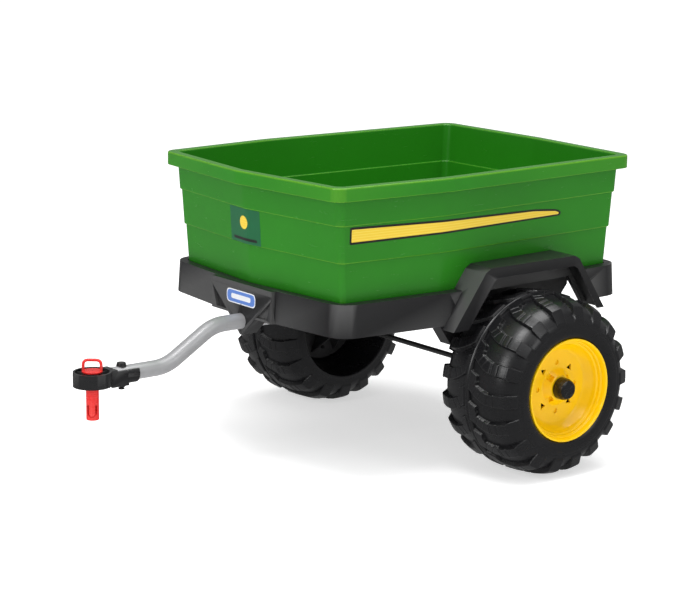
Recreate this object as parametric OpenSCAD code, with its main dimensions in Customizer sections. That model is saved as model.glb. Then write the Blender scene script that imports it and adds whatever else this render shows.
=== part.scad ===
// Two-wheeled ride-on toy trailer: a moulded tub on a chassis tray, a bent steel
// drawbar with a ring hitch and a lift-out pin, and two balloon-tyred wheels.
// Everything is drawn with the axle over x = 0 and the ground at z = 0, then the
// whole is moved so that the middle of its length lies over the origin.
// +X is forward, towards the hitch, and +Y is the left side.

/* [Tub] */
// Length of the tub over its rim, corner to corner
tub_l = 691; // [560:1:840]
// Width of the tub over its rim, at the corners
tub_w = 520; // [500:1:640]
// Height of the rim's top above the ground
tub_top_z = 537; // [500:1:660]
// Distance from the axle forward to the rim's front corners
tub_front = 408.5; // [380:0.5:480]
// Thickness of the tub's walls and floor
tub_wall = 3.5; // [2.5:0.1:5]
// How far the rim stands out from the wall
rim_over = 16; // [12:0.5:20]
// Height of the rim's skirt
rim_h = 24; // [16:1:34]
// Depth of each of the two steps round the wall
step_in = 2.8; // [1.5:0.1:4]
// Height of the band between the rim and the upper step
band_1_h = 45.5; // [35:0.5:60]
// Height of the band between the two steps
band_2_h = 65; // [50:0.5:80]
// Draft of the end walls, as a slope
end_draft = 0.07; // [0.04:0.005:0.09]
// Draft of the side walls, as a slope
side_draft = 0.03; // [0.02:0.005:0.05]
// How far the middle of the front wall stands out
front_bow = 23; // [12:0.5:30]
// How far the middle of the rear wall stands out
rear_bow = 10; // [6:0.5:20]
// How far the side walls stand out at their kink
side_bow = 17; // [10:0.5:24]
// Distance from the axle forward to the side walls' kink
kink_x = 168; // [120:1:220]
// Corner radius of the tub
tub_corner = 24; // [16:1:34]

/* [Chassis tray] */
// How far the tray stands out round the foot of the tub
tray_lip = 19; // [14:0.5:24]
// Height of the tray's skirt
skirt_h = 57.5; // [48:0.5:64]
// Height of the tray's top edge above the ground
tray_top_z = 334; // [332:1:350]
// Wall thickness of the tray
tray_wall = 4; // [3:0.1:5]
// Depth of the seat that the tub stands in
seat_depth = 7; // [4:0.5:9]
// Corner radius of the tray
tray_corner = 40; // [30:1:48]
// How far the skirt flares out at its foot
skirt_flare = 2.5; // [0:0.5:4]
// Half width of the raised panel on the tray's front
panel_half = 90; // [75:1:110]
// How far that panel stands out
panel_out = 9; // [5:0.5:10]

/* [Fenders] */
// Height of the fender's top above the ground
fender_top_z = 375; // [365:1:390]
// Height of the fender's feet above the ground
fender_foot_z = 271; // [268:1:276]
// Distance from the axle to the front end of the fender's top
fender_top_front = 107; // [95:1:115]
// Distance from the axle to the rear end of the fender's top
fender_top_rear = 108; // [95:1:115]
// Distance from the axle to the front foot
fender_foot_front = 184; // [176:1:190]
// Distance from the axle to the rear foot
fender_foot_rear = 178; // [174:1:188]
// Distance from the trailer's middle to the fender's outer face
fender_y = 304; // [298:1:320]
// Wall thickness of the fender
fender_wall = 4; // [3:0.1:5]
// Depth of the outer face over the wheel
fender_face_top = 19; // [14:1:24]
// Width of the outer face on the front leg
fender_face_front = 27; // [20:1:30]
// Width of the outer face on the rear leg
fender_face_rear = 13; // [12:1:22]

/* [Wheels] */
// Outside diameter of the tyre
tyre_d = 324; // [300:1:328]
// Width of the tyre
tyre_w = 185; // [170:1:186]
// Distance from the trailer's middle to the tyre's parting line
wheel_y = 315; // [315:0.5:325]
// Number of tread lugs round each side of a tyre
lug_count = 18; // [14:1:24]
// Height of the tread lugs
lug_h = 5; // [3:0.5:7]
// Outside diameter of the yellow rim
rim_d = 185; // [176:1:190]
// Depth of the rim's dish
dish_depth = 36; // [30:1:40]
// Diameter of the axle
axle_d = 10; // [8:0.5:12]
// Radial clearance of the wheels on the axle
wheel_fit = 0.1; // [0.05:0.01:0.1]

/* [Drawbar] */
// Outside diameter of the drawbar tube
bar_d = 28; // [24:0.5:30]
// Wall thickness of the drawbar tube
bar_wall = 1.5; // [1:0.1:3]
// Height of the tube's axis at the hitch
hitch_z = 207; // [195:1:220]
// Height of the tube's axis under the tray
bar_z = 266.5; // [264:0.5:269]
// Slope of the tube between its two bends
bar_slope = 31; // [24:1:40]
// Bend radius of the tube's axis
bend_r = 80; // [60:1:90]
// Distance from the axle to where the front bend starts
bend_x = 599; // [585:1:615]
// Radial clearance round the tube in its sockets
bar_fit = 0.2; // [0.1:0.05:0.5]

/* [Hitch] */
// Distance from the axle to the middle of the hitch ring
ring_x = 726; // [715:1:760]
// Outside diameter of the hitch ring
ring_d = 66; // [60:1:76]
// Height of the hitch ring
ring_h = 25; // [20:0.5:30]
// Diameter of the hitch pin
pin_d = 22.6; // [18:0.1:24]
// Length of the pin below its flange
pin_l = 82; // [60:1:100]
// Height of the pin's handle above its flange
handle_h = 21; // [18:0.5:30]
// Width of the pin's handle
handle_w = 36; // [30:1:42]
// Angle that the handle is turned to, from straight ahead
handle_turn = 52; // [0:1:180]
// Radial clearance of the pin in the hitch
pin_fit = 0.3; // [0.15:0.05:0.5]

/* [Fasteners] */
// Diameter of the bolts through the tube
bolt_d = 6; // [5:0.5:7]
// Diameter of the tub's screws
tub_screw_d = 5; // [4:0.5:6]
// Diameter of the small screws
screw_d = 4; // [3:0.5:5]
// Radial clearance round bolts and screws
screw_fit = 0.2; // [0.1:0.05:0.5]

/* [Hidden] */
$fn = 96;
thin = 0.01;
over = 1;
gap = 0.3;

// Tub
rim_under_z = tub_top_z - rim_h;
step_1_z = rim_under_z - band_1_h;
step_2_z = step_1_z - band_2_h;
tray_z = tray_top_z - skirt_h;
deck_top_z = tray_top_z - seat_depth;
deck_z = deck_top_z - tray_wall;
tub_foot_z = deck_top_z;
floor_z = tub_foot_z + tub_wall;
tub_rear = tub_front - tub_l;
mid_x = (ring_x + ring_d / 2 + tub_rear - rear_bow) / 2;

// Wheels, measured outboard from the trailer's middle
axle_z = tyre_d / 2;
tyre_out = wheel_y + tyre_w / 2;
tyre_in = wheel_y - tyre_w / 2;
lip_y = tyre_out - 1.5;
dish_y = lip_y - dish_depth;
boss_y = dish_y + 12;
disc_y = wheel_y - 7;
disc_r = rim_d / 2 - 11;
bore_r = rim_d / 2 - 24.5;
hub_in_y = tyre_in - 5;
hub_joint_y = wheel_y + 16;
axle_r = axle_d / 2;
hub_r = axle_r + 8;
wheel_screw_r = bore_r - 7;
support_out_y = hub_in_y - 3.5;
support_w = 28;
cap_base_r = 19.5;
cap_face_r = 14;
cap_l = 18;

// Drawbar
bar_r = bar_d / 2;
bar_in_r = bar_r - bar_wall;
bar_end_x = ring_x - ring_d / 2 - 5;
bend_rise = 2 * bend_r * (1 - cos(bar_slope));
slope_l = (bar_z - hitch_z - bend_rise) / sin(bar_slope);
bend_2_x = bend_x - 2 * bend_r * sin(bar_slope) - slope_l * cos(bar_slope);
bar_bolt_x = 150;
bar_rear_x = bar_bolt_x - 30;
block_half = bar_r + 8;
// How far the straights run into the bends, and how much thicker the bent tube is
join = 1;
bend_swell = 0.1;
hitch_bolt_x = bar_end_x - 20;

// Hitch
pin_r = pin_d / 2;
ring_z = hitch_z - ring_h / 2;
ring_top_z = hitch_z + ring_h / 2;
boss_top_z = ring_top_z - 2;
flange_t = 3.5;
// The shank is a little thinner below the hitch, so that it drops into an eye easily
pin_step = 0.3;
pin_step_z = ring_z - boss_top_z - 4;
pin_flange_z = boss_top_z + gap;
head_half = 17;
collar_r = bar_r + 3.5;
washer_t = 4.5;
screw_foot_z = hitch_z - collar_r - 2 * washer_t;

// Screw places
tub_screw_x = [tub_front - 110, tub_rear + 92];
tub_screw_y = 150;
support_screw_x = [-150, -60, 60, 150];
fender_screw_z = tray_z + 24;
dish_mark_r = 44;
inner_wall_z = tray_top_z - 6;
nose_half = panel_half;
nose_top_z = tray_top_z - 9.5;
nose_tip_z = bar_z - bar_r - 11;

// ---- shared shapes ----

function arc(c, r, a0, a1, n = 5) =
    [for (i = [0:n]) let (a = a0 + (a1 - a0) * i / n) [c[0] + r * cos(a), c[1] + r * sin(a)]];

// Plan of the tub and tray: a rectangle whose four sides each stand out at a kink
function plan(xf, xr, w, r) = concat(
    [[xf + front_bow, 0]],
    arc([xf - r, w - r], r, 6, 85), [[kink_x, w + side_bow]],
    arc([xr + r, w - r], r, 94, 177), [[xr - rear_bow, 0]],
    arc([xr + r, r - w], r, 183, 266), [[kink_x, -w - side_bow]],
    arc([xf - r, r - w], r, 275, 354));

// How far the wall lies inside the rim at a height, in band 0, 1 or 2
function wall_in(band, z, draft) = rim_over + band * step_in + draft * (rim_under_z - z);

function tub_plan(end_in, side_in) = plan(tub_front - end_in, tub_rear + end_in,
    tub_w / 2 - side_in, max(tub_corner - side_in / 2, 6));

function wall_plan(band, z, more = 0) =
    tub_plan(wall_in(band, z, end_draft) + more, wall_in(band, z, side_draft) + more);

foot_end = wall_in(2, tray_top_z, end_draft);
foot_side = wall_in(2, tray_top_z, side_draft);
tray_front = tub_front - foot_end + tray_lip;
tray_rear = tub_rear + foot_end - tray_lip;
tray_half = tub_w / 2 - foot_side + tray_lip + 3;

function tray_plan(more = 0) =
    plan(tray_front + more, tray_rear - more, tray_half + more, tray_corner);

// X of the skirt's front face, and Y of its side face, at the skirt's foot
function skirt_x(y) = tray_front + front_bow * (1 - abs(y) / tray_half);
nose_x = skirt_x(panel_half) + panel_out + 0.5;
function skirt_y(x) = tray_half + side_bow * (x < kink_x
    ? (x - tray_rear) / (kink_x - tray_rear) : (tray_front - x) / (tray_front - kink_x));

module slab(points, z, h) translate([0, 0, z]) linear_extrude(h) polygon(points);

// One drafted band of the tub's shape, grown inwards by more
module band(number, z0, z1, more = 0) hull() {
    slab(wall_plan(number, z0, more), z0, thin);
    slab(wall_plan(number, z1, more), z1 - thin, thin);
}

// The flared block that the tray's skirt is cut from
module skirt_block(more = 0, z0 = tray_z, z1 = tray_top_z) hull() {
    slab(tray_plan(skirt_flare + more), z0, thin);
    slab(tray_plan(more), z1 - thin, thin);
}

// A side view outline, in x and z, as a plate between two places across the trailer
module side_plate(points, y0, y1)
    translate([0, y1, 0]) rotate([90, 0, 0]) linear_extrude(y1 - y0) polygon(points);

module left_or_right(side) {
    if (side > 0) children();
    else mirror([0, 1, 0]) children();
}

// Draws along the axle, with z as the distance outboard
module on_axle() translate([0, 0, axle_z]) rotate([-90, 0, 0]) children();

module place() translate([-mid_x, 0, 0]) children();

module bolt(d, l, head_d, head_h) {
    cylinder(d = d, h = l);
    translate([0, 0, -head_h]) difference() {
        cylinder(d1 = head_d * 0.8, d2 = head_d, h = head_h);
        translate([0, 0, -over]) cylinder(d = head_d * 0.45, h = over + head_h * 0.6, $fn = 6);
    }
}

module nut(d, across, h) difference() {
    cylinder(d = across, h = h, $fn = 6);
    translate([0, 0, -over]) cylinder(d = d, h = h + 2 * over);
}

// ---- tub ----

module tub() color("forestgreen") difference() {
    union() {
        difference() {
            slab(tub_plan(0, 0), rim_under_z, rim_h);
            slab(tub_plan(tub_wall, tub_wall), rim_under_z - over, rim_h - tub_wall + over);
        }
        band(0, step_1_z, tub_top_z - thin);
        band(1, step_2_z, step_1_z);
        band(2, tub_foot_z, step_2_z);
    }
    band(0, step_1_z - tub_wall, tub_top_z + over, tub_wall);
    band(1, step_2_z - tub_wall, step_1_z - tub_wall, tub_wall);
    band(2, floor_z, step_2_z - tub_wall, tub_wall);
    for (x = tub_screw_x, y = [-1, 1])
        translate([x, y * tub_screw_y, tub_foot_z - over])
            cylinder(d = tub_screw_d + 2 * screw_fit, h = tub_wall + 2 * over);
}

// ---- chassis tray ----

// Outline of a fender in side view, drawn in from the top, the front and the rear
fender_rise = fender_top_z - fender_foot_z;
front_slope = atan(fender_rise / (fender_foot_front - fender_top_front));
rear_slope = atan(fender_rise / (fender_foot_rear - fender_top_rear));
function arch(top_in, front_in, rear_in, z0, cut) = let (
    z1 = fender_top_z - top_in,
    f0 = fender_foot_front - front_in / sin(front_slope),
    r0 = fender_foot_rear - rear_in / sin(rear_slope),
    front = function (z) f0 - (z - fender_foot_z) / tan(front_slope),
    rear = function (z) -r0 + (z - fender_foot_z) / tan(rear_slope))
    [[front(z0), z0], [front(z1 - cut), z1 - cut], [front(z1) - cut, z1],
     [rear(z1) + cut, z1], [rear(z1 - cut), z1 - cut], [rear(z0), z0]];

wheel_arch = arch(fender_face_top, fender_face_front, fender_face_rear, tray_z - 20, 4);

// Skirt with its ledge round the top, open over the wheels
module tray_skirt() difference() {
    skirt_block();
    skirt_block(-tray_wall, tray_z - over, tray_top_z - tray_wall);
    slab(wall_plan(2, tray_top_z, -2), deck_z - over, tray_wall + seat_depth + 2 * over);
    for (side = [-1, 1]) left_or_right(side)
        intersection() {
            side_plate(wheel_arch, tyre_in - 8, tray_half + side_bow + 10);
            slab(tray_plan(20), tray_z - over, skirt_h - tray_wall + over);
        }
}

// Pan that the tub stands in
module tray_pan() difference() {
    slab(wall_plan(2, tray_top_z, -2 - tray_wall), deck_z, tray_top_z - deck_z);
    slab(wall_plan(2, tray_top_z, -2), deck_top_z, seat_depth + over);
}

module tray_ribs() {
    for (side = [-1, 1]) {
        translate([bar_rear_x, side * (block_half - 2) - 2, bar_z + bar_r + 4])
            cube([tray_front - bar_rear_x - 4, 4, deck_z - bar_z - bar_r - 4 + thin]);
        translate([tray_rear + 6, side * 60 - 1.5, deck_z - 26])
            cube([tray_front - tray_rear - 12, 3, 26 + thin]);
    }
    for (x = [-200, 200])
        translate([x - 1.5, 4 - tray_half, deck_z - 26])
            cube([3, 2 * tray_half - 8, 26 + thin]);
}

// Raised panel on the front with a wedge-shaped nose that holds the drawbar
module tray_nose() {
    difference() {
        translate([skirt_x(panel_half) - 5, -panel_half, tray_z])
            cube([panel_out + 5, 2 * panel_half, skirt_h]);
        for (side = [-1, 1]) left_or_right(side)
            nose_plate([[nose_half - 2, nose_top_z - 7], [nose_half - 15, tray_z + 4],
                        [44, tray_z + 4]], skirt_x(nose_half) + 1, nose_x + 10);
    }
    nose_plate([[-nose_half, nose_top_z], [nose_half, nose_top_z], [3, nose_tip_z],
                [-3, nose_tip_z]], tray_front - 8, nose_x);
    translate([tray_front - 10, 0, bar_z]) rotate([0, 90, 0])
        cylinder(r = bar_r + 5, h = nose_x - 1 - tray_front + 10);
}

// An outline in y and z as a plate between two places along the trailer
module nose_plate(points, x0, x1)
    translate([x0, 0, 0]) rotate([90, 0, 90]) linear_extrude(x1 - x0) polygon(points);

module chassis_tray() color("dimgray") difference() {
    union() {
        tray_skirt();
        tray_pan();
        tray_ribs();
        tray_nose();
        translate([bar_rear_x, -block_half, bar_z - bar_r - 6])
            cube([2 * (bar_bolt_x - bar_rear_x), 2 * block_half, deck_z - bar_z + bar_r + 6 + thin]);
        for (side = [-1, 1], x = support_screw_x)
            translate([x, side * (support_out_y - support_w / 2), deck_z - 1])
                cylinder(r = 6, h = 1 + thin);
    }
    translate([bar_rear_x - over, 0, bar_z]) rotate([0, 90, 0])
        cylinder(r = bar_r + bar_fit, h = nose_x + 30 - bar_rear_x);
    translate([bar_bolt_x, -block_half - over, bar_z]) rotate([-90, 0, 0])
        cylinder(d = bolt_d + 2 * screw_fit, h = 2 * block_half + 2 * over);
    for (x = tub_screw_x, y = [-1, 1])
        translate([x, y * tub_screw_y, deck_z - over])
            cylinder(d = tub_screw_d + 2 * screw_fit, h = tray_wall + 2 * over);
    for (side = [-1, 1], x = support_screw_x)
        translate([x, side * (support_out_y - support_w / 2), deck_z - 2])
            cylinder(d = screw_d + 2 * screw_fit, h = 5);
    for (side = [-1, 1]) fender_bores(side);
}

// ---- fenders ----

fender_screw_x = [fender_foot_front - 34, 20 - fender_foot_rear];
module fender_bores(side) for (x = fender_screw_x)
    translate([x, side * skirt_y(x), fender_screw_z]) rotate([90, 0, 0])
        cylinder(d = screw_d + 2 * screw_fit, h = 30, center = true);

module fender(side) color("dimgray") left_or_right(side) difference() {
    union() {
        difference() {
            side_plate(arch(0, 0, 0, fender_foot_z, 7), tub_w / 2 - 30, fender_y);
            side_plate(arch(fender_wall, fender_wall, fender_wall, fender_foot_z - 9, 6),
                tub_w / 2 - 40, fender_y - fender_wall);
            side_plate(wheel_arch, tub_w / 2 - 40, fender_y + over);
        }
        intersection() {
            side_plate(arch(0, 0, 0, fender_foot_z, 7), tub_w / 2 - 30, fender_y);
            difference() {
                skirt_block(gap + fender_wall, tray_z - 2, tray_top_z + fender_wall);
                side_plate(wheel_arch, tub_w / 2 - 40, fender_y + over);
            }
        }
        intersection() {
            side_plate(arch(0, 0, 0, fender_foot_z, 7), tub_w / 2 - 30, fender_y);
            difference() {
                slab(tray_plan(gap + fender_wall), inner_wall_z, fender_top_z - inner_wall_z);
                slab(tray_plan(gap), inner_wall_z - over, fender_top_z - inner_wall_z + 2 * over);
            }
        }
    }
    skirt_block(gap);
    slab(tray_plan(skirt_flare + gap), tray_z - 30, 30 + thin);
    slab(tray_plan(gap), tray_top_z - thin, gap + thin);
    band(2, tub_foot_z - 80, fender_top_z + 5, -gap);
    fender_bores(1);
}

module fender_screws() color("black") for (side = [-1, 1], x = fender_screw_x)
    left_or_right(side) translate([x, skirt_y(x) - tray_wall - 1.6, fender_screw_z])
        rotate([-90, 0, 0]) bolt(screw_d, tray_wall + fender_wall + 3, screw_d * 2, 2.4);

// ---- axle and its supports ----

support_top_z = deck_z - 1;
support_shape = concat(
    [[170, support_top_z], [170, support_top_z - 22], [150, tray_z], [112, axle_z + 60],
     [44, axle_z + 60]],
    arc([0, axle_z], 20, 0, -180, 16),
    [[-44, axle_z + 60], [-112, axle_z + 60], [-150, tray_z], [-170, support_top_z - 22],
     [-170, support_top_z]]);
support_hollow = [[158, support_top_z - 6], [158, support_top_z - 18], [142, tray_z + 2],
    [107, axle_z + 66], [36, axle_z + 66], [20, axle_z + 26], [-20, axle_z + 26],
    [-36, axle_z + 66], [-107, axle_z + 66], [-142, tray_z + 2], [-158, support_top_z - 18],
    [-158, support_top_z - 6]];

module axle_support(side) color("dimgray") left_or_right(side) difference() {
    side_plate(support_shape, support_out_y - support_w, support_out_y);
    side_plate(support_hollow, support_out_y - support_w - over, support_out_y - 5);
    on_axle() cylinder(r = axle_r + wheel_fit, h = support_out_y + over);
    for (x = support_screw_x)
        translate([x, support_out_y - support_w / 2, support_top_z - 7])
            cylinder(d = screw_d + 2 * screw_fit, h = 8);
}

module support_screws() color("silver") for (side = [-1, 1], x = support_screw_x)
    left_or_right(side) translate([x, support_out_y - support_w / 2, support_top_z - 6])
        bolt(screw_d, 9.5, screw_d * 2, 2.4);

module axle() color("dimgray") on_axle()
    translate([0, 0, -boss_y - 9]) cylinder(r = axle_r, h = 2 * boss_y + 18);

module axle_spacer(side) color("gray") left_or_right(side) on_axle()
    translate([0, 0, support_out_y]) difference() {
        cylinder(r = axle_r + 6, h = hub_in_y - support_out_y - gap);
        translate([0, 0, -over]) cylinder(r = axle_r + wheel_fit, h = 10);
    }

module push_nut(side) color("silver") left_or_right(side) on_axle()
    translate([0, 0, boss_y + gap]) difference() {
        cylinder(r1 = axle_r + 4.5, r2 = axle_r + 3, h = 2);
        translate([0, 0, -over]) cylinder(r = axle_r + 0.02, h = 5);
    }

// ---- wheels ----

// Tyre profile as radius and distance outboard, mirrored about the parting line
tyre_r = tyre_d / 2 - lug_h;
side_r = rim_d / 2 + 42.5;
function mirrored(points) =
    [for (i = [len(points) - 1:-1:0]) [points[i][0], 2 * wheel_y - points[i][1]]];
shoulder = [[rim_d / 2 + 7.5, tyre_out - 0.7], [rim_d / 2 + 19, tyre_out],
    [side_r - 10, tyre_out - 3.5], [side_r, tyre_out - 12.5], [tyre_r - 11, tyre_out - 27.5],
    [tyre_r - 5, tyre_out - 47.5], [tyre_r - 1, tyre_out - 72.5]];
tyre_outside = concat(
    [[rim_d / 2 - 0.9, lip_y - 3.3], [rim_d / 2 + 0.5, lip_y - 3.3],
     [rim_d / 2 + 0.5, lip_y - 1.5]], shoulder, [[tyre_r, wheel_y]], mirrored(shoulder),
    [[rim_d / 2 + 11.5, tyre_in + 3.5], [disc_r + 3, disc_y - 3], [disc_r + 3, disc_y + gap],
     [bore_r, disc_y + gap], [bore_r, dish_y - 6], [bore_r + 6.2, dish_y + 0.5],
     [bore_r + 14, dish_y + 11], [bore_r + 16.2, dish_y + 15.5], [bore_r + 19.4, dish_y + 17.3],
     [bore_r + 20.3, dish_y + 22.7], [bore_r + 22.8, dish_y + 23.9],
     [rim_d / 2 - 0.9, lip_y - 6]]);
tyre_wall = 4;
inner_shoulder = [[rim_d / 2 + 19, tyre_out - tyre_wall], [side_r - 12, tyre_out - 8],
    [side_r - 4, tyre_out - 16], [tyre_r - 15, tyre_out - 29.5],
    [tyre_r - 9, tyre_out - 48.5], [tyre_r - 5, tyre_out - 72.5]];
tyre_hollow = concat(
    [[rim_d / 2 + 5, tyre_out - 6.5]], inner_shoulder, [[tyre_r - tyre_wall, wheel_y]],
    mirrored(inner_shoulder),
    [[rim_d / 2 + 15, tyre_in + 5.5], [disc_r + 8, disc_y - 2], [disc_r + 8, disc_y + 4.5],
     [bore_r + 4.5, disc_y + 4.5], [bore_r + 4.5, dish_y - 8], [bore_r + 11, dish_y - 1],
     [bore_r + 19, dish_y + 10], [bore_r + 24, dish_y + 15], [rim_d / 2 + 4, dish_y + 22]]);
lug_outside = [[side_r - 9, tyre_out - 4], [side_r + 14, tyre_out - 15.5],
    [tyre_r - 2.5, tyre_out - 27.5], [tyre_r + 2.5, tyre_out - 47.5],
    [tyre_r + lug_h, wheel_y + 20], [tyre_r + lug_h, wheel_y + 4], [tyre_r - 2, wheel_y + 4],
    [side_r - 10, tyre_out - 20]];
lug_share = 0.5;

// One lug of the tread, a ring sector from the shoulder to near the parting line
module lug(width) rotate_extrude(angle = width) polygon(lug_outside);

module tyre(side) color([0.13, 0.13, 0.13]) left_or_right(side) on_axle() {
    difference() {
        rotate_extrude() polygon(tyre_outside);
        rotate_extrude() polygon(tyre_hollow);
    }
    pitch = 360 / lug_count;
    for (i = [0:lug_count - 1]) {
        rotate([0, 0, (i - lug_share / 2) * pitch]) lug(pitch * lug_share);
        translate([0, 0, 2 * wheel_y]) mirror([0, 0, 1])
            rotate([0, 0, (i + 0.5 - lug_share / 2) * pitch]) lug(pitch * lug_share);
    }
}

rim_front = [[rim_d / 2, lip_y - 3], [rim_d / 2, lip_y - 0.5], [rim_d / 2 - 1.5, lip_y],
    [rim_d / 2 - 3, lip_y], [rim_d / 2 - 4.5, lip_y - 3.5], [rim_d / 2 - 5.5, lip_y - 9.5],
    [rim_d / 2 - 8, lip_y - 10.5], [rim_d / 2 - 9, lip_y - 16], [rim_d / 2 - 12, lip_y - 17.5],
    [rim_d / 2 - 14.5, dish_y + 13], [rim_d / 2 - 22, dish_y + 4], [rim_d / 2 - 26, dish_y],
    [31, dish_y], [21, boss_y], [axle_r + wheel_fit, boss_y]];
rim_back = [[axle_r + wheel_fit, hub_joint_y], [hub_r, hub_joint_y], [hub_r, dish_y - 4],
    [rim_d / 2 - 25, dish_y - 4], [rim_d / 2 - 19.5, dish_y + 1], [rim_d / 2 - 11.5, dish_y + 11.5],
    [rim_d / 2 - 9.2, lip_y - 20], [rim_d / 2 - 6, lip_y - 18.2], [rim_d / 2 - 5.1, lip_y - 12.8],
    [rim_d / 2 - 2.6, lip_y - 11.6], [rim_d / 2 - 1.6, lip_y - 5], [rim_d / 2 - 1.6, lip_y - 3]];

module around_wheel(r, count = 4, start = 0) for (i = [0:count - 1])
    rotate([0, 0, start + 360 * i / count]) translate([r, 0, 0]) children();

module wheel_rim(side) color("gold") left_or_right(side) on_axle() difference() {
    union() {
        rotate_extrude() polygon(concat(rim_front, rim_back));
        around_wheel(wheel_screw_r) translate([0, 0, disc_y + 1.5])
            cylinder(r = 5, h = dish_y - disc_y - 3);
    }
    around_wheel(wheel_screw_r) translate([0, 0, disc_y])
        cylinder(r = screw_d / 2 + screw_fit, h = 34);
    // four see-through triangles and four dimples in the dish
    around_wheel(dish_mark_r, 4, 45) translate([0, 0, dish_y - 6]) rotate([0, 0, 15])
        cylinder(r = 6.2, h = 8, $fn = 3);
    around_wheel(dish_mark_r) translate([0, 0, dish_y - 2]) cylinder(r = 4.2, h = 4);
    // four windows in the boss
    around_wheel(25.5, 4, 45) translate([-2.5, -6, dish_y + 1]) cube([12, 12, 14]);
}

module hub_disc(side) color([0.16, 0.16, 0.16]) left_or_right(side) on_axle() difference() {
    union() {
        translate([0, 0, disc_y - 6]) cylinder(r = disc_r, h = 6);
        translate([0, 0, hub_in_y]) cylinder(r = hub_r, h = hub_joint_y - gap - hub_in_y);
        for (i = [0:7]) rotate([0, 0, (i + 0.5) * 45]) translate([0, 2, disc_y - 5])
            rotate([90, 0, 0]) linear_extrude(4)
                polygon([[hub_r - 1, 0], [disc_r - 6, 0], [hub_r - 1, hub_in_y + 24 - disc_y]]);
    }
    translate([0, 0, hub_in_y - over])
        cylinder(r = axle_r + wheel_fit, h = hub_joint_y - hub_in_y + over);
    around_wheel(wheel_screw_r) translate([0, 0, disc_y - 10])
        cylinder(r = screw_d / 2 + screw_fit, h = 12);
}

module hub_cap(side) color([0.12, 0.12, 0.12]) left_or_right(side) on_axle()
    translate([0, 0, boss_y]) difference() {
        rotate_extrude() polygon([[0, 0], [cap_base_r, 0], [cap_base_r, 8],
            [cap_face_r + 2.5, cap_l - 2], [cap_face_r, cap_l], [0, cap_l]]);
        translate([0, 0, -over]) cylinder(r = 12, h = cap_l - 3 + over);
    }

module wheel_screws(side) color("silver") left_or_right(side) on_axle()
    around_wheel(wheel_screw_r) translate([0, 0, disc_y - 6]) bolt(screw_d, 30, screw_d * 2, 2.6);

// ---- drawbar ----

// A bend of the tube about its own middle, in side view, from one angle upwards
module bend(from, r) rotate([90, 0, 0]) rotate([0, 0, from]) rotate_extrude(angle = bar_slope)
    translate([bend_r, 0]) circle(r = r);

// The tube's path filled to one radius in its straights and another in its bends;
// the straights run a little into the bends, and more sets how far the ends run on
module bar_path(r, in_bends, more) {
    translate([bend_x - join, 0, hitch_z]) rotate([0, 90, 0])
        cylinder(r = r, h = bar_end_x - bend_x + join + more);
    translate([bend_x, 0, hitch_z + bend_r]) bend(270 - bar_slope, in_bends);
    translate([bend_2_x + bend_r * sin(bar_slope), 0, bar_z - bend_r * (1 - cos(bar_slope))])
        rotate([0, 90 + bar_slope, 0]) translate([0, 0, -join])
            cylinder(r = r, h = slope_l + 2 * join);
    translate([bend_2_x, 0, bar_z - bend_r]) bend(90 - bar_slope, in_bends);
    translate([bar_rear_x - more, 0, bar_z]) rotate([0, 90, 0])
        cylinder(r = r, h = bend_2_x - bar_rear_x + join + more);
}

module drawbar_tube() color("silver") difference() {
    bar_path(bar_r, bar_r + bend_swell, 0);
    bar_path(bar_in_r, bar_in_r - bend_swell, over);
    translate([hitch_bolt_x, 0, hitch_z - bar_d])
        cylinder(d = bolt_d + 2 * screw_fit, h = 2 * bar_d);
    translate([bar_bolt_x, -bar_d, bar_z]) rotate([-90, 0, 0])
        cylinder(d = bolt_d + 2 * screw_fit, h = 2 * bar_d);
}

module drawbar_bolt() color("dimgray") translate([bar_bolt_x, -block_half, bar_z])
    rotate([-90, 0, 0]) bolt(bolt_d, 2 * block_half + 9, bolt_d * 2, 4);

module drawbar_nut() color("dimgray") translate([bar_bolt_x, block_half + thin, bar_z])
    rotate([-90, 0, 0]) nut(bolt_d + 0.04, bolt_d * 1.9, 5);

// ---- hitch ----

module hitch_head() color([0.15, 0.15, 0.15]) difference() {
    union() {
        translate([ring_x, 0, ring_z]) {
            difference() {
                cylinder(d = ring_d, h = ring_h);
                translate([0, 0, -over]) cylinder(d = ring_d - 7, h = ring_h + 2 * over);
            }
            cylinder(r = pin_r + pin_fit + 3, h = boss_top_z - ring_z);
            for (i = [0:5]) rotate([0, 0, i * 60]) translate([pin_r + 1, -1.25, 0])
                cube([ring_d / 2 - pin_r - 3, 2.5, boss_top_z - ring_z - 1]);
        }
        difference() {
            translate([hitch_bolt_x - 5, -head_half, hitch_z - collar_r])
                cube([ring_x - hitch_bolt_x, 2 * head_half, collar_r + ring_h / 2]);
            translate([ring_x, 0, ring_z - 10]) cylinder(d = ring_d - 1, h = ring_h + 20);
        }
        translate([hitch_bolt_x - 27, 0, hitch_z]) rotate([0, 90, 0]) cylinder(r = collar_r, h = 24);
    }
    translate([hitch_bolt_x - 40, 0, hitch_z]) rotate([0, 90, 0])
        cylinder(r = bar_r + bar_fit, h = bar_end_x + gap - hitch_bolt_x + 40);
    translate([hitch_bolt_x - 40, -30, hitch_z + 9]) cube([bar_end_x - hitch_bolt_x + 38, 60, 30]);
    translate([hitch_bolt_x, 0, hitch_z - collar_r - over])
        cylinder(d = bolt_d + 2 * screw_fit, h = 30);
    translate([ring_x, 0, ring_z - over]) cylinder(r = pin_r + pin_fit, h = ring_h + 2 * over);
}

// Screw up through the washer, the head and the tube into the knob
module hitch_screw() color("black") translate([hitch_bolt_x, 0, screw_foot_z]) {
    cylinder(d = 10.6, h = 2);
    cylinder(d = bolt_d, h = hitch_z + bar_r + 4 - screw_foot_z);
}

module hitch_washer() color("black") translate([hitch_bolt_x, 0, hitch_z - collar_r - washer_t])
    difference() {
        cylinder(d1 = 14, d2 = 16.5, h = washer_t);
        translate([0, 0, -over]) cylinder(d = bolt_d + 0.04, h = washer_t + 2 * over);
    }

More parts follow.
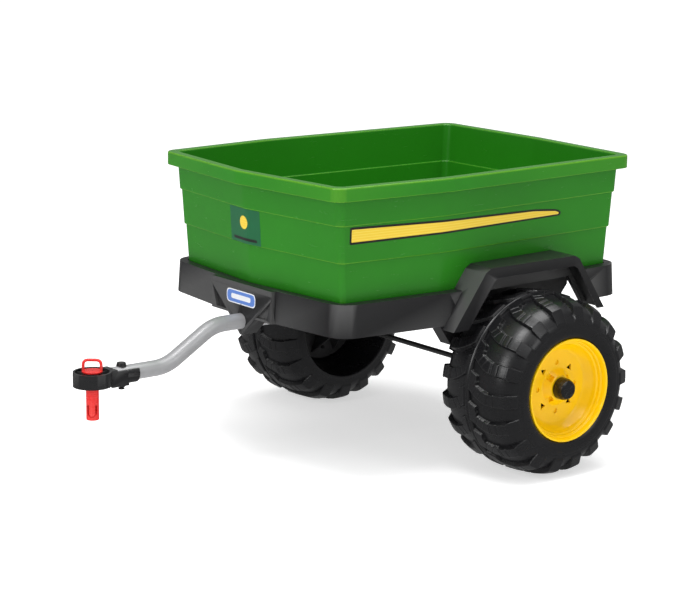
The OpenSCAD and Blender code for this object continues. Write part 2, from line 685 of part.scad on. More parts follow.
module hitch_nut() color("black") translate([hitch_bolt_x, 0, hitch_z + bar_r]) difference() {
    cylinder(d1 = 18, d2 = 15, h = 6);
    translate([0, 0, -over]) cylinder(d = bolt_d + 0.04, h = 5);
}

handle_bar = 5.4;
module hitch_pin() color("red") translate([ring_x, 0, pin_flange_z]) rotate([0, 0, handle_turn - 90]) {
    difference() {
        union() {
            cylinder(r = handle_w / 2 - 0.5, h = flange_t);
            translate([0, 0, pin_step_z]) cylinder(r = pin_r, h = -pin_step_z);
            translate([0, 0, -pin_l]) cylinder(r = pin_r - pin_step, h = pin_l);
        }
        translate([0, 0, -pin_l - over]) cylinder(r = pin_r - 2.5, h = pin_l - 2 + over);
        // U-shaped slot that frees the latch tongue
        translate([0, 0, -pin_l + 5]) intersection() {
            rotate([90, 0, 0]) linear_extrude(30) difference() {
                union() {
                    translate([-8, 8]) square([16, 13]);
                    translate([0, 8]) circle(r = 8);
                }
                union() {
                    translate([-6, 8]) square([12, 14]);
                    translate([0, 8]) circle(r = 6);
                }
            }
            translate([-20, -20, 0]) cube([40, 20, 30]);
        }
    }
    rotate([90, 0, 0]) translate([0, 0, -handle_bar / 2]) linear_extrude(handle_bar) difference() {
        handle_outline(0);
        handle_outline(handle_bar);
    }
}
module handle_outline(inset) hull() {
    w = handle_w / 2 - inset;
    for (side = [-1, 1]) {
        translate([side * (w - 8 + inset / 2), flange_t + handle_h - inset - 8 + inset / 2])
            circle(r = 8 - inset / 2, $fn = 32);
        translate([side * (w - 1), flange_t - 1]) square([2, thin], center = true);
    }
}

// ---- stickers ----

sticker_t = 0.4;
module wall_sticker() intersection() {
    difference() {
        band(1, step_2_z, step_1_z, -sticker_t);
        band(1, step_2_z, step_1_z, -0.02);
    }
    children();
}

module side_decal(side) color("yellow") left_or_right(side) wall_sticker()
    side_plate([[kink_x + 197, 436], [kink_x + 197, 464], [kink_x - 218, 456],
                [kink_x - 276, 450.5], [kink_x - 288, 443], [kink_x - 284, 438]], 100, tub_w / 2 + 40);

module front_badge() color("darkgreen") wall_sticker()
    nose_plate([[-53, 403], [37, 403], [37, 466], [-53, 466]], tub_front - 100, tub_front + 40);

module drawbar_label() color("white") nose_plate([[-43, 297], [43, 297], [43, 320], [-43, 320]],
    nose_x + 0.02, nose_x + 0.4);

// ---- fasteners of the tub ----

module tub_screws() color("black") for (x = tub_screw_x, y = [-1, 1])
    translate([x, y * tub_screw_y, floor_z]) rotate([180, 0, 0])
        bolt(tub_screw_d, 17, tub_screw_d * 2.4, 3);
module tub_nuts() color("silver") for (x = tub_screw_x, y = [-1, 1])
    translate([x, y * tub_screw_y, deck_z - 4.5]) nut(tub_screw_d + 0.04, tub_screw_d * 1.8, 4.5);

place() tub();
place() chassis_tray();
place() fender(1);  // fender_left
place() fender(-1);  // fender_right
place() axle_support(1);  // axle_support_left
place() axle_support(-1);  // axle_support_right
place() axle();
place() axle_spacer(1);  // axle_spacer_left
place() axle_spacer(-1);  // axle_spacer_right
place() push_nut(1);  // push_nut_left
place() push_nut(-1);  // push_nut_right
place() drawbar_tube();
place() drawbar_bolt();
place() drawbar_nut();
place() hitch_head();
place() hitch_screw();
place() hitch_washer();
place() hitch_nut();
place() tub_screws();
place() tub_nuts();
place() support_screws();
place() fender_screws();
place() side_decal(1);  // side_decal_left
place() side_decal(-1);  // side_decal_right
place() front_badge();
place() drawbar_label();
place() tyre(1);  // tyre_left
place() wheel_rim(1);  // wheel_rim_left
place() hub_disc(1);  // hub_disc_left
place() hub_cap(1);  // hub_cap_left
place() wheel_screws(1);  // wheel_screws_left
place() tyre(-1);  // tyre_right
place() wheel_rim(-1);  // wheel_rim_right
place() hub_disc(-1);  // hub_disc_right
place() hub_cap(-1);  // hub_cap_right
place() wheel_screws(-1);  // wheel_screws_right
place() hitch_pin();
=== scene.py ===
"""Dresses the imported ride-on trailer for a plain studio picture.

Shapes are worked out in millimetres in the trailer's own terms: x forward from the
axle, y outboard to the left and z up from the ground. place() turns them into metres
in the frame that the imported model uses.
"""

import math

import bmesh
import bpy
import numpy as np
from mathutils import Matrix, Vector


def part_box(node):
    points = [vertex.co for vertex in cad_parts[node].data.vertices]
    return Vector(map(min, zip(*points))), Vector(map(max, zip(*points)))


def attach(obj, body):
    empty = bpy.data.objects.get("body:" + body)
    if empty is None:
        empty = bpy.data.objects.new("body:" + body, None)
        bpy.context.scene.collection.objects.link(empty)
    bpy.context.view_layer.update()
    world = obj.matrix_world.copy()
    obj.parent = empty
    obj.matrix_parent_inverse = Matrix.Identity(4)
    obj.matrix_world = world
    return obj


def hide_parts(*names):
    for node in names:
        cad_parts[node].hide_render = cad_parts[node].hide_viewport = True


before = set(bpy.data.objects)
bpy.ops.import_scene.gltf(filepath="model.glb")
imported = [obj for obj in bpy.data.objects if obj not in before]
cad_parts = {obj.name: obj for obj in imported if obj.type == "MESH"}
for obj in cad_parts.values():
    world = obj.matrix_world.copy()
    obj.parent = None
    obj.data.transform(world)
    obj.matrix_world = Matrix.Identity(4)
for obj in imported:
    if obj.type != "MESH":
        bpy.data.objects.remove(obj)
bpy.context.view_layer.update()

MM = 0.001

# Places and sizes of the trailer's pieces, in millimetres
AXLE_LOW, AXLE_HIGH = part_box("axle")
MID_X = -(AXLE_LOW[0] + AXLE_HIGH[0]) / 2 / MM
AXLE_Z = (AXLE_LOW[2] + AXLE_HIGH[2]) / 2 / MM
LABEL_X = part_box("drawbar_label")[0][0] / MM + MID_X
TUB_FRONT, TUB_REAR, TUB_HALF = 408.5, -282.5, 260.0
FRONT_BOW, REAR_BOW, SIDE_BOW, KINK_X = 23.0, 10.0, 17.0, 168.0
TUB_TOP, RIM_UNDER, STEP_1, STEP_2, FOOT = 537.0, 513.0, 467.5, 402.5, 327.0
RIM_OVER, STEP_IN, TUB_WALL = 16.0, 2.8, 3.5
END_DRAFT, SIDE_DRAFT, TUB_CORNER = 0.07, 0.03, 24.0
FLOOR_IN, CORNER_REACH, KINK_REACH = 60.0, 60.0, 7.0
WHEEL_Y, TYRE_OUT, TYRE_R = 315.0, 407.5, 161.9
MARK_R, TRIANGLE_R, DIMPLE_R = 44.0, 7.0, 4.6
BOSS_Y, CAP_L, CAP_R = 382.0, 22.0, 19.5
LUG_COUNT, LUG_TURN, TYRE_TURNS = 18, -1.0, 1008
PIN_X, PIN_FOOT, PIN_TOP, FLANGE_Z, FLANGE_H = 726.0, 135.9, 242.2, 217.9, 3.5
PIN_R, BORE_R, HANDLE_R, HANDLE_SIDE, PIN_TURN = 11.0, 8.6, 2.6, 15.2, math.radians(38)
SLOT_Z, SLOT_OUTER, SLOT_INNER = 149.0, 8.0, 5.4


def place(points):
    """Points in millimetres from the axle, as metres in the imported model's frame."""
    moved = np.asarray(points, float).reshape(-1, 3) * MM
    moved[:, 0] -= MID_X * MM
    return moved


# ---- making meshes ----


def add_object(name, data):
    made = bpy.data.objects.new(name, data)
    bpy.context.scene.collection.objects.link(made)
    return made


def new_object(name, verts, faces):
    mesh = bpy.data.meshes.new(name)
    mesh.from_pydata(np.asarray(verts).tolist(), [], faces)
    mesh.validate()
    return add_object(name, mesh)


def edit_mesh(piece, change):
    """Lets change(work) edit the piece's mesh."""
    work = bmesh.new()
    work.from_mesh(piece.data)
    change(work)
    work.to_mesh(piece.data)
    work.free()


def turn_outwards(piece):
    edit_mesh(piece, lambda work: bmesh.ops.recalc_face_normals(work, faces=work.faces))


def weld(piece):
    edit_mesh(piece, lambda work: bmesh.ops.remove_doubles(work, verts=work.verts,
                                                           dist=1e-6))


def fill_poles(piece):
    """Closes the tiny rings that a turned profile leaves at its own axis."""
    def change(work):
        rims = [edge for edge in work.edges if len(edge.link_faces) == 1]
        tiny = [edge for edge in rims if edge.calc_length() < 0.2 * MM]
        bmesh.ops.holes_fill(work, edges=tiny)

    edit_mesh(piece, change)


def shade(piece, sharp, weighted=True):
    piece.data.shade_smooth()
    piece.data.set_sharp_from_angle(angle=math.radians(sharp))
    if weighted:
        even = piece.modifiers.new("even_normals", "WEIGHTED_NORMAL")
        even.keep_sharp = True
        even.weight = 60
        apply_modifiers(piece)


def apply_modifiers(piece):
    bpy.context.view_layer.update()
    graph = bpy.context.evaluated_depsgraph_get()
    baked = bpy.data.meshes.new_from_object(piece.evaluated_get(graph))
    piece.modifiers.clear()
    piece.data = baked


def dress(piece, body, slot, material, *nodes):
    piece.data.materials.clear()
    piece.data.materials.append(material)
    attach(piece, body)
    if nodes:
        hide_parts(*nodes)


def loft(rings, close_start=False, close_end=False):
    """Faces between rings of equally many points, each ring closed on itself."""
    count = len(rings[0])
    verts = np.concatenate([np.asarray(ring, float) for ring in rings])
    faces = []
    for k in range(len(rings) - 1):
        a, b = k * count, (k + 1) * count
        for i in range(count):
            j = (i + 1) % count
            faces.append((a + i, a + j, b + j, b + i))
    if close_start:
        faces.append(tuple(range(count))[::-1])
    if close_end:
        last = (len(rings) - 1) * count
        faces.append(tuple(range(last, last + count)))
    return verts, faces


def rounded_path(points, radii, steps=4):
    """A path of straight pieces with its corners rounded; works in any dimension."""
    points = [np.asarray(p, float) for p in points]
    out = []
    for i, (p, r) in enumerate(zip(points, radii)):
        if r <= 0 or i in (0, len(points) - 1):
            out.append(p)
            continue
        before, after = points[i - 1] - p, points[i + 1] - p
        back = min(r, 0.48 * np.linalg.norm(before))
        on = min(r, 0.48 * np.linalg.norm(after))
        start = p + before / np.linalg.norm(before) * back
        end = p + after / np.linalg.norm(after) * on
        for k in range(steps + 1):
            t = k / steps
            out.append((1 - t) ** 2 * start + 2 * t * (1 - t) * p + t * t * end)
    return np.array(out)


def lathe(profile, side, turns=160):
    """Turns a profile of (radius, distance outboard) about the axle's line."""
    angles = np.linspace(0, 2 * math.pi, turns, endpoint=False)
    rings = []
    for radius, y in profile:
        ring = np.stack([radius * np.cos(angles), np.full(turns, y * side),
                         AXLE_Z + radius * np.sin(angles)], axis=1)
        rings.append(ring if side > 0 else ring[::-1])
    verts, faces = loft(rings)
    return place(verts), faces


def cut_away(piece, cutters):
    """Cuts the cutters' shapes out of the piece and removes the cutters."""
    for cutter in cutters:
        cut = piece.modifiers.new("cut", "BOOLEAN")
        cut.operation = "DIFFERENCE"
        cut.solver = "EXACT"
        cut.object = cutter
    apply_modifiers(piece)
    for cutter in cutters:
        bpy.data.objects.remove(cutter)


def rounded_copy(node, name, width, angle=28, steps=3, share_at=None):
    """The node's shape with its edges rounded where they turn by more than the angle.
    share_at(middle) gives the share of the width that an edge gets."""
    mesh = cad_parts[node].data.copy()
    mesh.name = name
    work = bmesh.new()
    work.from_mesh(mesh)
    bmesh.ops.remove_doubles(work, verts=work.verts, dist=2e-6)
    bmesh.ops.dissolve_limit(work, angle_limit=math.radians(0.6), verts=work.verts,
                             edges=work.edges)
    layer = work.edges.layers.float.new("bevel_weight_edge")
    for edge in work.edges:
        if len(edge.link_faces) != 2 or edge.calc_face_angle(0) < math.radians(angle):
            continue
        middle = (edge.verts[0].co + edge.verts[1].co) / 2
        edge[layer] = share_at(middle) if share_at else 1.0
    work.to_mesh(mesh)
    work.free()
    mesh.materials.clear()
    made = add_object(name, mesh)
    bevel = made.modifiers.new("rounded", "BEVEL")
    bevel.limit_method = "WEIGHT"
    bevel.width = width * MM
    bevel.segments = steps
    bevel.use_clamp_overlap = True
    bevel.miter_outer = "MITER_ARC"
    apply_modifiers(made)
    shade(made, 40)
    return made


# ---- materials ----

# Heights of the relief, in metres
GRAIN_DEPTH, SWELL_DEPTH = 0.0002, 0.002


def noise_node(tree, coords, scale, detail, rough=0.55, stretch=None):
    source = coords
    if stretch:
        mapping = tree.nodes.new("ShaderNodeMapping")
        mapping.inputs["Scale"].default_value = stretch
        tree.links.new(coords, mapping.inputs["Vector"])
        source = mapping.outputs["Vector"]
    noise = tree.nodes.new("ShaderNodeTexNoise")
    noise.inputs["Scale"].default_value = scale
    noise.inputs["Detail"].default_value = detail
    noise.inputs["Roughness"].default_value = rough
    tree.links.new(source, noise.inputs["Vector"])
    return noise.outputs["Fac"]


def ramp_node(tree, value, low, high, low_colour, high_colour):
    ramp = tree.nodes.new("ShaderNodeValToRGB")
    ramp.color_ramp.elements[0].position = low
    ramp.color_ramp.elements[1].position = high
    ramp.color_ramp.elements[0].color = (*low_colour, 1)
    ramp.color_ramp.elements[1].color = (*high_colour, 1)
    tree.links.new(value, ramp.inputs["Fac"])
    return ramp.outputs["Color"]


def range_node(tree, value, low, high, to_low, to_high):
    scale = tree.nodes.new("ShaderNodeMapRange")
    scale.inputs["From Min"].default_value = low
    scale.inputs["From Max"].default_value = high
    scale.inputs["To Min"].default_value = to_low
    scale.inputs["To Max"].default_value = to_high
    tree.links.new(value, scale.inputs["Value"])
    return scale.outputs["Result"]


def mix_node(tree, factor, a, b):
    mix = tree.nodes.new("ShaderNodeMix")
    mix.data_type = "RGBA"
    tree.links.new(factor, mix.inputs["Factor"])
    for socket, value in ((mix.inputs[6], a), (mix.inputs[7], b)):
        if isinstance(value, tuple):
            socket.default_value = (*value, 1)
        else:
            tree.links.new(value, socket)
    return mix.outputs[2]


def surface(name, colour, rough, rough_spread, mottle, grain_scale, grain, swell=0.0,
            edge_wear_and_highlight=0.25, edge_wear_and_highlight_colour=None, metallic=0.0, scuff=0.0):
    """A moulded, painted or printed surface with grain, mottling, scuffs, and convex edges
    paled for wear and as a painted highlight.
    """
    material = bpy.data.materials.new(name)
    material.use_nodes = True
    tree = material.node_tree
    shader = tree.nodes["Principled BSDF"]
    shader.inputs["Metallic"].default_value = metallic
    coords = tree.nodes.new("ShaderNodeTexCoord").outputs["Object"]
    broad = noise_node(tree, coords, 7.0, 4.0)
    darker = tuple(c * (1 - mottle) for c in colour)
    lighter = tuple(min(1.0, c * (1 + mottle)) for c in colour)
    base = ramp_node(tree, broad, 0.3, 0.7, darker, lighter)
    # Convex edges are mixed towards a paler colour: partly edge wear, partly a painted
    # highlight.
    edges = tree.nodes.new("ShaderNodeNewGeometry").outputs["Pointiness"]
    edge_wear_and_highlight_mask = range_node(tree, edges, 0.52, 0.62, 0.0, edge_wear_and_highlight)
    worn_and_highlit = edge_wear_and_highlight_colour or tuple(min(1.0, c * 1.6 + 0.03) for c in colour)
    base = mix_node(tree, edge_wear_and_highlight_mask, base, worn_and_highlit)
    streaks = noise_node(tree, coords, 26.0, 6.0, 0.7, (1.0, 1.0, 5.0))
    if scuff:
        scuff_mask = range_node(tree, streaks, 0.60, 0.72, 0.0, scuff)
        pale = tuple(min(1.0, c * 1.25 + 0.02) for c in colour)
        base = mix_node(tree, scuff_mask, base, pale)
    tree.links.new(base, shader.inputs["Base Color"])
    roughness = range_node(tree, streaks, 0.3, 0.7, rough - rough_spread,
                           rough + rough_spread)
    tree.links.new(roughness, shader.inputs["Roughness"])
    fine = noise_node(tree, coords, grain_scale, 2.0)
    bump = tree.nodes.new("ShaderNodeBump")
    bump.inputs["Strength"].default_value = grain
    bump.inputs["Distance"].default_value = GRAIN_DEPTH
    tree.links.new(fine, bump.inputs["Height"])
    last = bump.outputs["Normal"]
    if swell:
        wide = tree.nodes.new("ShaderNodeBump")
        wide.inputs["Strength"].default_value = swell
        wide.inputs["Distance"].default_value = SWELL_DEPTH
        tree.links.new(noise_node(tree, coords, 9.0, 1.0), wide.inputs["Height"])
        tree.links.new(last, wide.inputs["Normal"])
        last = wide.outputs["Normal"]
    tree.links.new(last, shader.inputs["Normal"])
    return material


# The tub's pale edge colour is a painted highlight along the step and rim edges.
TUB_GREEN = surface("tub_plastic", (0.020, 0.215, 0.008), 0.25, 0.03, 0.05, 700, 0.04,
                    swell=0.03, edge_wear_and_highlight=1.0, edge_wear_and_highlight_colour=(0.36, 0.66, 0.04))
# The chassis's pale edge colour is mostly a painted highlight along the tray and fender
# creases, with some edge wear.
CHASSIS = surface("chassis_plastic", (0.010, 0.010, 0.011), 0.38, 0.06, 0.10, 1100, 0.30,
                  edge_wear_and_highlight=0.7, edge_wear_and_highlight_colour=(0.10, 0.10, 0.10), scuff=0.06)
TYRE = surface("tyre_plastic", (0.007, 0.007, 0.008), 0.30, 0.06, 0.12, 1000, 0.18,
               edge_wear_and_highlight=0.6, edge_wear_and_highlight_colour=(0.07, 0.07, 0.07), scuff=0.08)
RIM = surface("rim_plastic", (0.95, 0.58, 0.001), 0.22, 0.05, 0.03, 800, 0.04,
              edge_wear_and_highlight=0.2, edge_wear_and_highlight_colour=(1.0, 0.75, 0.05), scuff=0.04)
HUB = surface("hub_plastic", (0.030, 0.030, 0.031), 0.42, 0.06, 0.10, 1100, 0.20,
              edge_wear_and_highlight=0.5, edge_wear_and_highlight_colour=(0.10, 0.10, 0.10))
CAP = surface("cap_plastic", (0.007, 0.007, 0.008), 0.26, 0.05, 0.10, 1100, 0.10,
              edge_wear_and_highlight=0.5, edge_wear_and_highlight_colour=(0.06, 0.06, 0.06))
HITCH = surface("hitch_plastic", (0.009, 0.009, 0.010), 0.30, 0.07, 0.10, 1100, 0.15,
                edge_wear_and_highlight=0.5, edge_wear_and_highlight_colour=(0.07, 0.07, 0.07), scuff=0.12)
PIN = surface("pin_plastic", (0.78, 0.022, 0.020), 0.28, 0.06, 0.06, 900, 0.08,
              edge_wear_and_highlight=0.35, edge_wear_and_highlight_colour=(0.95, 0.20, 0.16), scuff=0.08)
DRAWBAR = surface("drawbar_paint", (0.36, 0.36, 0.37), 0.34, 0.06, 0.05, 1500, 0.12,
                  metallic=0.15, edge_wear_and_highlight=0.2, scuff=0.10)
AXLE = surface("axle_coating", (0.012, 0.012, 0.012), 0.32, 0.06, 0.10, 1200, 0.12,
               edge_wear_and_highlight=0.3, scuff=0.12)
ZINC = surface("zinc_plate", (0.55, 0.55, 0.56), 0.34, 0.08, 0.08, 1200, 0.10,
               metallic=1.0, edge_wear_and_highlight=0.2, scuff=0.15)
BLACK_STEEL = surface("black_steel", (0.014, 0.014, 0.015), 0.34, 0.07, 0.10, 1200, 0.12,
                      metallic=0.4, edge_wear_and_highlight=0.4, scuff=0.15)


def film(name, colour, lines=0.0):
    """Printed film, with faint level lines where the print has them."""
    material = surface(name, colour, 0.32, 0.05, 0.03, 1400, 0.04, edge_wear_and_highlight=0.0)
    tree = material.node_tree
    shader = tree.nodes["Principled BSDF"]
    shader.inputs["Coat Weight"].default_value = 0.3
    shader.inputs["Coat Roughness"].default_value = 0.1
    if lines:
        coords = tree.nodes.new("ShaderNodeTexCoord").outputs["Object"]
        wave = tree.nodes.new("ShaderNodeTexWave")
        wave.wave_type = "BANDS"
        wave.bands_direction = "Z"
        wave.inputs["Scale"].default_value = 70.0
        wave.inputs["Distortion"].default_value = 0.0
        tree.links.new(coords, wave.inputs["Vector"])
        mask = range_node(tree, wave.outputs["Fac"], 0.75, 0.95, 0.0, lines)
        old = shader.inputs["Base Color"].links[0].from_socket
        pale = tuple(min(1.0, c * 1.1 + 0.12) for c in colour)
        tree.links.new(mix_node(tree, mask, old, pale), shader.inputs["Base Color"])
    return material


YELLOW_FILM = film("yellow_film", (0.90, 0.62, 0.03), lines=0.5)
BLACK_FILM = film("black_film", (0.012, 0.012, 0.012))
GREEN_FILM = film("green_film", (0.006, 0.13, 0.045))
BLUE_FILM = film("blue_film", (0.10, 0.22, 0.62))
WHITE_FILM = film("white_film", (0.80, 0.82, 0.86))


# ---- tub ----


def corner_arc(cx, cy, r, a0, a1):
    angles = np.radians(np.linspace(a0, a1, 10))
    return [(cx + r * math.cos(a), cy + r * math.sin(a)) for a in angles]


def soft_corner(before, at, after):
    return list(rounded_path([before, at, after], [0, KINK_REACH, 0], 4))[1:-1]


def plan(front, rear, half, r):
    """Plan of the tub: four sides that each stand out at a softly rounded kink."""
    arcs = [corner_arc(front - r, half - r, r, 6, 85),
            corner_arc(rear + r, half - r, r, 94, 177),
            corner_arc(rear + r, r - half, r, 183, 266),
            corner_arc(front - r, r - half, r, 275, 354)]
    kinks = [(front + FRONT_BOW, 0), (KINK_X, half + SIDE_BOW), (rear - REAR_BOW, 0),
             (KINK_X, -half - SIDE_BOW)]
    out = []
    for k in range(4):
        out += soft_corner(arcs[k - 1][-1], kinks[k], arcs[k][0])
        out += arcs[k]
    return np.array(out)


def wall_in(band, z, draft):
    """How far a wall stands in from the rim's edge; a band is a level between steps."""
    return RIM_OVER + band * STEP_IN + draft * (RIM_UNDER - z)


def tub_ring(end_in, side_in, z):
    outline = plan(TUB_FRONT - end_in, TUB_REAR + end_in, TUB_HALF - side_in,
                   max(TUB_CORNER - side_in / 2, 6))
    return np.column_stack([outline, np.full(len(outline), z)])


def wall_point(band, z, more=0.0):
    return (wall_in(band, z, END_DRAFT) + more, wall_in(band, z, SIDE_DRAFT) + more, z)


def make_tub():
    inside = TUB_WALL
    floor_z = FOOT + TUB_WALL
    inner_1, inner_2 = STEP_1 - TUB_WALL, STEP_2 - TUB_WALL
    profile = [
        (wall_point(2, FOOT, FLOOR_IN), 0), (wall_point(2, FOOT), 4),
        (wall_point(2, STEP_2), 0.8), (wall_point(1, STEP_2), 2.2),
        (wall_point(1, STEP_1), 0.8), (wall_point(0, STEP_1), 2.2),
        (wall_point(0, TUB_TOP - TUB_WALL), 1.5),
        ((TUB_WALL, TUB_WALL, TUB_TOP - TUB_WALL), 1.5),
        ((TUB_WALL, TUB_WALL, RIM_UNDER), 1.2), ((0, 0, RIM_UNDER), 1.2),
        ((0, 0, TUB_TOP), 3.5), (wall_point(0, TUB_TOP, inside), 3.5),
        (wall_point(0, inner_1, inside), 0.8), (wall_point(1, inner_1, inside), 2.2),
        (wall_point(1, inner_2, inside), 0.8), (wall_point(2, inner_2, inside), 2.2),
        (wall_point(2, floor_z, inside), 9), (wall_point(2, floor_z, FLOOR_IN), 0)]
    path = rounded_path([p for p, r in profile], [r for p, r in profile], 3)
    rings = [tub_ring(*p) for p in path]
    verts, faces = loft(rings, True, True)
    tub = new_object("tub_shell", place(verts), faces)
    shade(tub, 50)
    dress(tub, "trailer", "tub", TUB_GREEN, "tub")


# ---- stickers ----


def side_at(x, z, band):
    """Distance outboard of the tub's side wall."""
    outline = tub_ring(*wall_point(band, z))
    left = outline[outline[:, 1] > TUB_HALF - CORNER_REACH]
    order = np.argsort(left[:, 0])
    return float(np.interp(x, left[order, 0], left[order, 1]))


def front_at(y, z, band):
    """Distance forward of the tub's front wall."""
    outline = tub_ring(*wall_point(band, z))
    ahead = outline[outline[:, 0] > TUB_FRONT - CORNER_REACH]
    order = np.argsort(ahead[:, 1])
    return float(np.interp(y, ahead[order, 1], ahead[order, 0]))


def skin(name, outline, lift, at, spacing):
    """A thin film with this flat outline, laid on the surface that at() gives. lift is
    how far its under and upper side stand off, and spacing is how finely it bends."""
    work = bmesh.new()
    corners = [work.verts.new((u, v, 0)) for u, v in outline]
    face = work.faces.new(corners)
    if face.normal.z < 0 or face.calc_area() == 0:
        face.normal_flip()
    us = [u for u, v in outline]
    for u in np.arange(min(us) + spacing, max(us), spacing):
        bmesh.ops.bisect_plane(work, geom=work.verts[:] + work.edges[:] + work.faces[:],
                               plane_co=(float(u), 0, 0), plane_no=(1, 0, 0))
    grown = bmesh.ops.extrude_face_region(work, geom=work.faces[:])
    top = [g for g in grown["geom"] if isinstance(g, bmesh.types.BMVert)]
    for vert in top:
        vert.co.z = 1.0
    bmesh.ops.recalc_face_normals(work, faces=work.faces)
    for vert in work.verts:
        u, v, high = vert.co
        point = at(u, v, lift[1] if high > 0.5 else lift[0])
        vert.co = Vector(place([point])[0])
    mesh = bpy.data.meshes.new(name)
    work.to_mesh(mesh)
    work.free()
    return add_object(name, mesh)


def lay_films(layers, slot, node, at, spacing):
    """Lays films on each other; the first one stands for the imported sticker."""
    for index, (name, outline, lift, material) in enumerate(layers):
        layer = skin(name, outline, lift, at, spacing)
        replaced = [node] if index == 0 else []
        dress(layer, "trailer", slot, material, *replaced)


def round_outline(points, radii, steps=5):
    """A closed outline with rounded corners."""
    count = len(points)
    out = []
    for i in range(count):
        trio = [points[i - 1], points[i], points[(i + 1) % count]]
        out += [tuple(p) for p in rounded_path(trio, [0, radii[i], 0], steps)[1:-1]]
    return out


def rectangle(u0, u1, v0, v1, r):
    return round_outline([(u0, v0), (u1, v0), (u1, v1), (u0, v1)], [r] * 4)


def make_side_stripe(side, name):
    def at(x, z, lift):
        return (x, side * (side_at(x, z, 1) + lift), z)

    edge = [(365, 435), (365, 465), (-50, 456), (-108, 450.5), (-120, 444), (-116, 438)]
    fill = [(361.5, 439), (361.5, 461), (-50, 452.5), (-106, 447.2), (-114, 443.4),
            (-112, 441)]
    if side < 0:
        edge, fill = edge[::-1], fill[::-1]
    layers = [(f"stripe_border_{name}", round_outline(edge, [3, 3, 8, 8, 6, 5]),
               (0.02, 0.22), BLACK_FILM),
              (f"stripe_fill_{name}", round_outline(fill, [2, 2, 8, 8, 3, 3]),
               (0.24, 0.40), YELLOW_FILM)]
    lay_films(layers, "yellow_sticker", f"side_decal_{name}", at, 12.0)


def make_badge():
    def at(y, z, lift):
        return (front_at(y, z, 1) + lift, y, z)

    dot = [(-8 + 12 * math.cos(a), 441 + 12 * math.sin(a))
           for a in np.linspace(0, 2 * math.pi, 48, endpoint=False)]
    layers = [("badge_field", rectangle(-53, 37, 403.4, 466, 2), (0.02, 0.14), GREEN_FILM),
              ("badge_dot", dot, (0.16, 0.24), YELLOW_FILM),
              ("badge_bar", rectangle(-43, 27, 408.5, 413.5, 2), (0.16, 0.24), BLACK_FILM)]
    lay_films(layers, "green_sticker", "front_badge", at, 6.0)


def make_label():
    def at(y, z, lift):
        return (LABEL_X + lift, y, z)

    layers = [("label_border", rectangle(-43, 43, 295.5, 320.5, 10), (0, 0.14), WHITE_FILM),
              ("label_field", rectangle(-41, 41, 297.5, 318.5, 9), (0.16, 0.24), BLUE_FILM),
              ("label_bar", rectangle(-29, 29, 303.5, 312.5, 4), (0.26, 0.36), WHITE_FILM)]
    lay_films(layers, "blue_sticker", "drawbar_label", at, 8.0)


# ---- tyres ----

# Section of the tyre between the lugs, as distance from the parting line along the
# section, radius and distance outboard of the parting line
TREAD_BASE = [(0, 155.5, 0), (3, 155.5, 3), (8, 155.8, 8), (20, 155, 20),
              (33, 153.8, 33), (45, 151.6, 45), (58, 148.6, 57.5), (68, 144.6, 67),
              (78, 139.2, 75.5), (88, 132.6, 82.8), (98, 125, 88.8), (108, 115.8, 91.7),
              (116, 107.8, 92.3), (124, 100, 91.8), (128.5, 95.8, 89.8),
              (131, 93.6, 88.2)]
# The lugs' tops over the same distances
TREAD_TOP = [(0, 162, 0), (3, 162, 3), (20, 161.4, 20), (33, 160.8, 33), (45, 159.6, 46),
             (58, 157, 58.5), (68, 153.9, 68), (77, 150.6, 75.5), (83, 148.2, 79.8),
             (88, 141.8, 82.9), (98, 127.2, 89.8), (104, 119.6, 91.6), (108, 115.8, 91.8)]
# Sides of a lug, as degrees from its middle at distances from the parting line
LUG_FRONT = [(0, 5.4), (3, 4.6), (17, 1.0), (30, -1.6), (42, -3.3), (60, -3.9),
             (82.5, -3.9), (84, -5.0), (104, -5.0)]
LUG_BACK = [(0, 17.2), (3, 16.6), (20.4, 13.7), (21.4, 7.7), (24, 7.2), (37, 5.2),
            (46, 4.3), (82.5, 4.3), (84, 5.0), (104, 5.0)]
LUG_END = 101.0
# The parting band, from its inner edge to its outer edge, and its fine grooves
BAND_IN, BAND_OUT, BAND_R = 8.0, 3.5, 160.2
BAND_GROOVES = (-7.0, -0.4, 2.6)
# Where the inner and outer halves of the section end, and the radius at which the
# lugs' sides are measured
INNER_END, OUTER_END, LUG_R = 104, 131, 150.0
# Fine ribs across the lugs: level ones and ones that lean with the lug
LEVEL_RIBS, LEANING_RIBS, RIB_LEAN, RIB_H = (62, 50, 46), (28.4, 13.5), 1.72, 0.9


def section_at(table, s, column):
    return np.interp(s, [row[0] for row in table], [row[column] for row in table])


def smooth_section(table, s, column):
    """The section with its corners eased over a few millimetres."""
    total = 0
    offsets = np.linspace(-5, 5, 11)
    for offset in offsets:
        total = total + section_at(table, np.abs(s + offset), column)
    return total / len(offsets)


def step(x, width):
    t = np.clip(x / width + 0.5, 0, 1)
    return t * t * (3 - 2 * t)


def ridge(x, half, soft=0.8):
    return step(half - np.abs(x), soft)


def tread(s, degrees, band_end):
    """How far a point stands from the base towards the lugs' tops, and the fine
    relief over it, for a distance s from the parting line."""
    pitch = 360 / LUG_COUNT
    lug = np.zeros_like(s)
    along = np.zeros_like(s)
    arc = math.radians(LUG_R)
    for shift in (-1, 0, 1):
        turn = (degrees + pitch / 2) % pitch - pitch / 2 + shift * pitch
        low = np.interp(s, [p[0] for p in LUG_FRONT], [p[1] for p in LUG_FRONT])
        high = np.interp(s, [p[0] for p in LUG_BACK], [p[1] for p in LUG_BACK])
        inside = np.minimum(turn - low, high - turn) * arc
        here = step(inside, 1.6)
        lug = np.maximum(lug, here)
        leaning = s - RIB_LEAN * turn
        ribs = sum(ridge(s - rib, 0.7) for rib in LEVEL_RIBS)
        ribs = ribs + sum(ridge(leaning - rib, 0.9) for rib in LEANING_RIBS)
        along = np.maximum(along, here * ribs)
    lug = lug * step(LUG_END - s, 3.0) * step(s - band_end, 1.6)
    # panels between the lugs swell a little in their middles
    panel = (1 - lug) * step(s - 10, 14) * step(84 - s, 16)
    return lug, RIB_H * (panel - along * lug)


